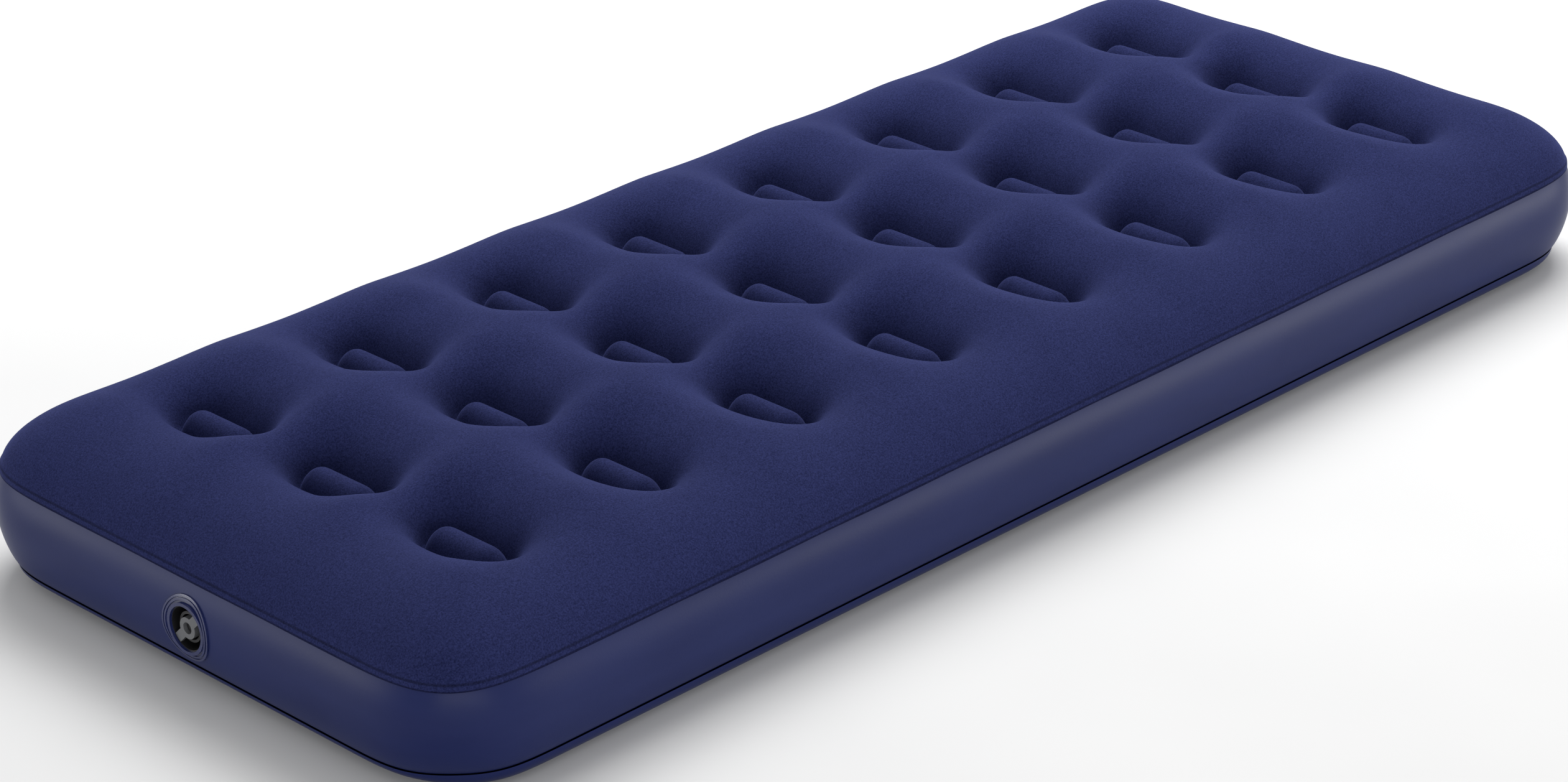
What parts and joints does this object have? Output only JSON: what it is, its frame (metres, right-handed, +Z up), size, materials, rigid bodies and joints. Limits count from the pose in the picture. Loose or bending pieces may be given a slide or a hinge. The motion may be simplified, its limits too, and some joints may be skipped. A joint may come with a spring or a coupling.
{
  "type": "air mattress",
  "caption": "Inflated rectangular flocked camping air mattress with dimples over internal coils and a check valve in one short side.",
  "frame": {"origin": "on the floor under the middle of the bed", "axes": "+X along the length, away from the valve; +Y across the width; +Z up"},
  "size_m": [1.8518, 0.76, 0.202],
  "materials": {
    "flocked_pvc": "short velvety flock on PVC",
    "smooth_pvc": "semi-gloss soft PVC sheet",
    "coil_pvc": "plain soft PVC",
    "valve_soft_pvc": "semi-gloss soft moulded PVC",
    "valve_grey_plastic": "moulded, slightly rough",
    "valve_dark_plastic": "moulded",
    "spring_steel": "bright drawn wire",
    "seal_rubber": "matt"
  },
  "bodies": {
    "bed": {"top_sheet": "flocked_pvc", "side_band": "smooth_pvc", "bottom_sheet": "smooth_pvc", "coil_r1_c1": "coil_pvc", "coil_r1_c2": "coil_pvc", "coil_r1_c3": "coil_pvc", "coil_r1_c4": "coil_pvc", "coil_r1_c5": "coil_pvc", "coil_r1_c6": "coil_pvc", "coil_r1_c7": "coil_pvc", "coil_r1_c8": "coil_pvc", "coil_r2_c1": "coil_pvc", "coil_r2_c2": "coil_pvc", "coil_r2_c3": "coil_pvc", "coil_r2_c4": "coil_pvc", "coil_r2_c5": "coil_pvc", "coil_r2_c6": "coil_pvc", "coil_r2_c7": "coil_pvc", "coil_r2_c8": "coil_pvc", "coil_r3_c1": "coil_pvc", "coil_r3_c2": "coil_pvc", "coil_r3_c3": "coil_pvc", "coil_r3_c4": "coil_pvc", "coil_r3_c5": "coil_pvc", "coil_r3_c6": "coil_pvc", "coil_r3_c7": "coil_pvc", "coil_r3_c8": "coil_pvc", "valve_base": "valve_soft_pvc", "valve_housing": "valve_dark_plastic", "valve_spider": "valve_grey_plastic", "valve_spring": "spring_steel"},
    "poppet": {"valve_disc": "valve_grey_plastic", "valve_seal": "seal_rubber", "valve_stem": "valve_grey_plastic", "stem_button": "valve_dark_plastic"}
  },
  "joints": [
    {"name": "poppet_slide", "type": "slide", "parent": "bed", "child": "poppet", "axis": [1, 0, 0], "range_m": [0, 0.005], "stiffness_N_per_m": 150, "springref_m": -0.008, "deforming": ["valve_spring"]}
  ]
}
